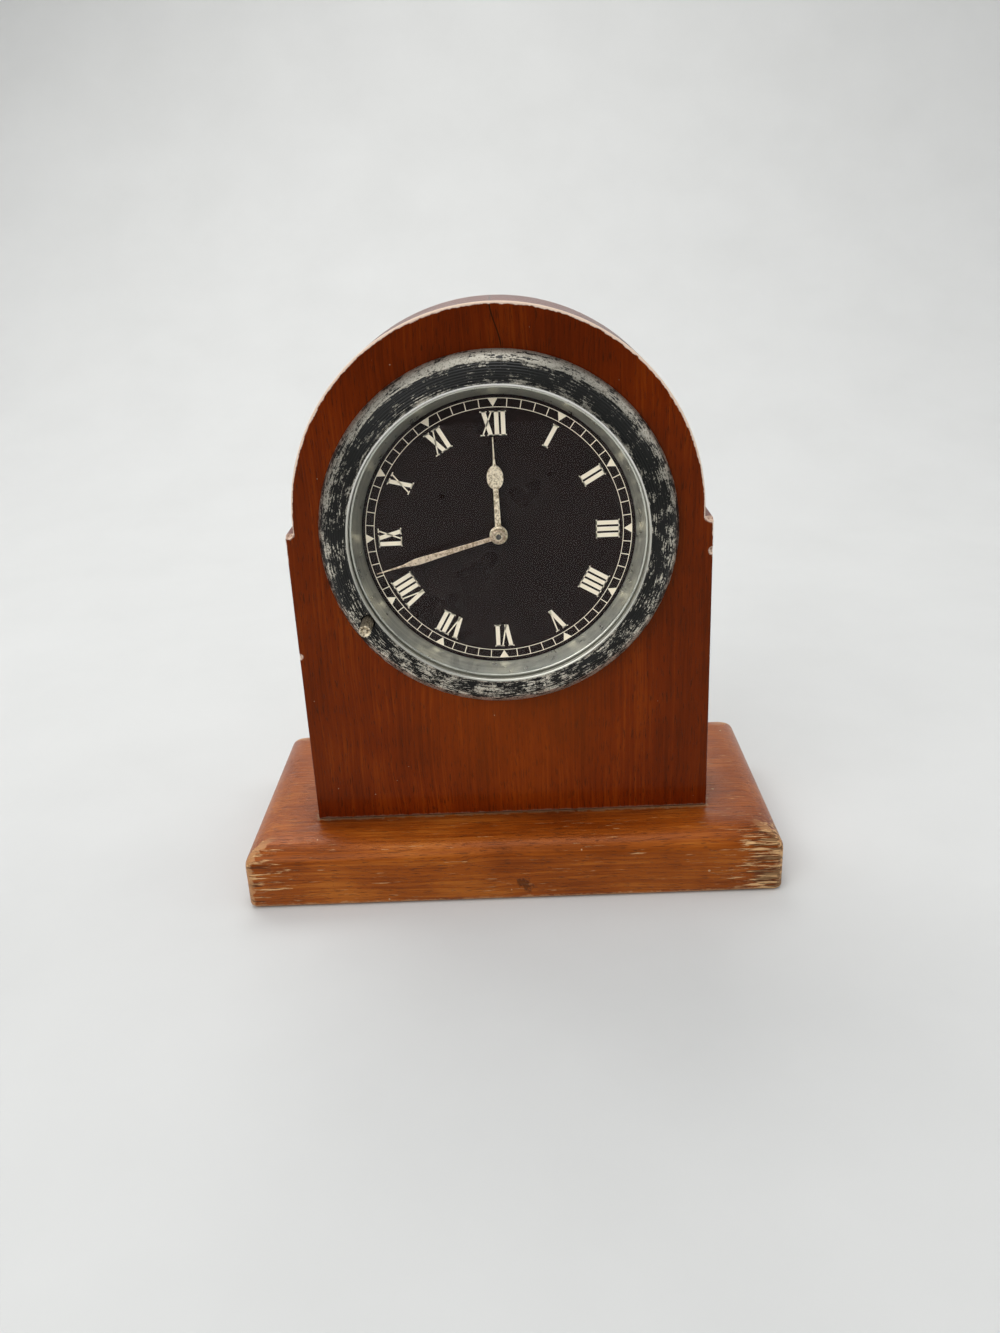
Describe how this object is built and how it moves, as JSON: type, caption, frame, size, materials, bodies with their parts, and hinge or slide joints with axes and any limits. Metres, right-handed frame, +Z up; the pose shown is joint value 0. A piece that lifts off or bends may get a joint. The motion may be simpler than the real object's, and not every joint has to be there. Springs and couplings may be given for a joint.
{
  "type": "shelf clock",
  "caption": "Small arched wooden shelf clock on a rounded plinth, with a rim-wound drum movement, black dial and turning worn rim.",
  "frame": {"origin": "centre of the plinth's flat bottom, on the surface that it stands on", "axes": "+Z up, +X to the clock's right as seen from the front, the dial faces -Y"},
  "size_m": [0.136, 0.071, 0.1447],
  "materials": {
    "case_wood": "glossy reddish brown polish, worn at the edges",
    "plinth_wood": "worn orange brown polish with scratches",
    "rim_lacquer": "black lacquer worn to bare white metal in flecks",
    "sight_metal": "satin",
    "clear_glass": "clear, flat",
    "dial_black": "gloss black with cream figures",
    "hand_metal": "tarnished silver",
    "plunger_brass": "knurled, worn",
    "drum_metal": "dull brass",
    "movement_brass": "turned brass",
    "movement_steel": "plain steel"
  },
  "bodies": {
    "case": {"base_plinth": "plinth_wood", "case_body": "case_wood", "base_screws": "movement_steel", "drum_case": "drum_metal", "flange_screws": "movement_steel", "back_cap": "drum_metal", "movement_screws": "movement_steel", "dial": "dial_black", "front_plate": "movement_brass", "back_plate": "movement_brass", "pillars": "movement_brass", "winding_stud": "movement_steel", "minute_stud": "movement_steel", "click_screw": "movement_steel", "hairspring": "movement_steel", "hairspring_stud": "movement_steel"},
    "bezel": {"rim": "rim_lacquer", "glass": "clear_glass", "sight_ring": "sight_metal", "winding_ring": "movement_brass"},
    "plunger": {"setting_plunger": "plunger_brass"},
    "minute": {"minute_hand": "hand_metal", "cannon_pinion": "movement_steel", "centre_arbor": "movement_steel", "centre_wheel": "movement_brass"},
    "hour": {"hour_hand": "hand_metal", "hour_wheel": "movement_brass"},
    "minute_wheel": {"minute_wheel": "movement_brass"},
    "barrel": {"barrel_drum": "movement_brass", "barrel_cover": "movement_brass", "mainspring": "movement_steel"},
    "winding_arbor": {"barrel_arbor": "movement_steel", "ratchet_wheel": "movement_brass"},
    "winding_pinion": {"winding_pinion": "movement_steel"},
    "click": {"click": "movement_steel"},
    "third": {"third_wheel": "movement_brass", "third_arbor": "movement_steel"},
    "fourth": {"fourth_wheel": "movement_brass", "fourth_arbor": "movement_steel"},
    "escape": {"escape_wheel": "movement_brass", "escape_arbor": "movement_steel"},
    "lever": {"pallet_lever": "movement_steel", "pallet_pins": "movement_steel", "lever_arbor": "movement_steel"},
    "balance": {"balance_wheel": "movement_brass", "balance_staff": "movement_steel", "impulse_roller": "movement_steel"}
  },
  "joints": [
    {"name": "rim_turn", "type": "hinge", "parent": "case", "child": "bezel", "pos_m": [0, -0.0203, 0.0923], "axis": [0, 1, 0], "continuous": true},
    {"name": "plunger_press", "type": "slide", "parent": "bezel", "child": "plunger", "axis": [0, 1, 0], "range_m": [0, 0.0008], "stiffness_N_per_m": 20},
    {"name": "minute_turn", "type": "hinge", "parent": "case", "child": "minute", "pos_m": [0, -0.0203, 0.0923], "axis": [0, 1, 0], "continuous": true},
    {"name": "hour_turn", "type": "hinge", "parent": "case", "child": "hour", "pos_m": [0, -0.0203, 0.0923], "axis": [0, 1, 0], "continuous": true},
    {"name": "minute_wheel_turn", "type": "hinge", "parent": "case", "child": "minute_wheel", "pos_m": [0.00624, -0.0203, 0.0887], "axis": [0, 1, 0], "continuous": true},
    {"name": "barrel_turn", "type": "hinge", "parent": "case", "child": "barrel", "pos_m": [-0.01372, -0.0203, 0.10022], "axis": [0, 1, 0], "continuous": true},
    {"name": "third_turn", "type": "hinge", "parent": "case", "child": "third", "pos_m": [0.01015, -0.0203, 0.09599], "axis": [0, 1, 0], "continuous": true},
    {"name": "fourth_turn", "type": "hinge", "parent": "case", "child": "fourth", "pos_m": [0.01525, -0.0203, 0.08716], "axis": [0, 1, 0], "continuous": true},
    {"name": "escape_turn", "type": "hinge", "parent": "case", "child": "escape", "pos_m": [0.01079, -0.0203, 0.07944], "axis": [0, 1, 0], "continuous": true},
    {"name": "winding_pinion_turn", "type": "hinge", "parent": "case", "child": "winding_pinion", "pos_m": [-0.02837, -0.0203, 0.097], "axis": [0, 1, 0], "continuous": true},
    {"name": "winding_arbor_turn", "type": "hinge", "parent": "case", "child": "winding_arbor", "pos_m": [-0.01372, -0.0203, 0.10022], "axis": [0, 1, 0], "continuous": true},
    {"name": "click_lift", "type": "hinge", "parent": "case", "child": "click", "pos_m": [-0.00642, -0.0203, 0.11286], "axis": [0, -1, 0], "range_deg": [0, 8], "stiffness_Nm_per_rad": 0.00002},
    {"name": "lever_rock", "type": "hinge", "parent": "case", "child": "lever", "pos_m": [0.0044, -0.0203, 0.07712], "axis": [0, 1, 0], "range_deg": [-3.5, 3.5]},
    {"name": "balance_swing", "type": "hinge", "parent": "case", "child": "balance", "pos_m": [-0.00546, -0.0203, 0.07353], "axis": [0, 1, 0], "range_deg": [-220, 220], "stiffness_Nm_per_rad": 0.0000055}
  ],
  "couplings": [
    {"joint": "hour_turn", "follows": "minute_turn", "ratio": 0.083333},
    {"joint": "minute_wheel_turn", "follows": "minute_turn", "ratio": -0.33333},
    {"joint": "barrel_turn", "follows": "minute_turn", "ratio": -0.14286},
    {"joint": "third_turn", "follows": "minute_turn", "ratio": -8},
    {"joint": "fourth_turn", "follows": "minute_turn", "ratio": 60},
    {"joint": "escape_turn", "follows": "minute_turn", "ratio": -480},
    {"joint": "winding_pinion_turn", "follows": "rim_turn", "ratio": 6.75},
    {"joint": "winding_arbor_turn", "follows": "rim_turn", "ratio": -3.375}
  ]
}
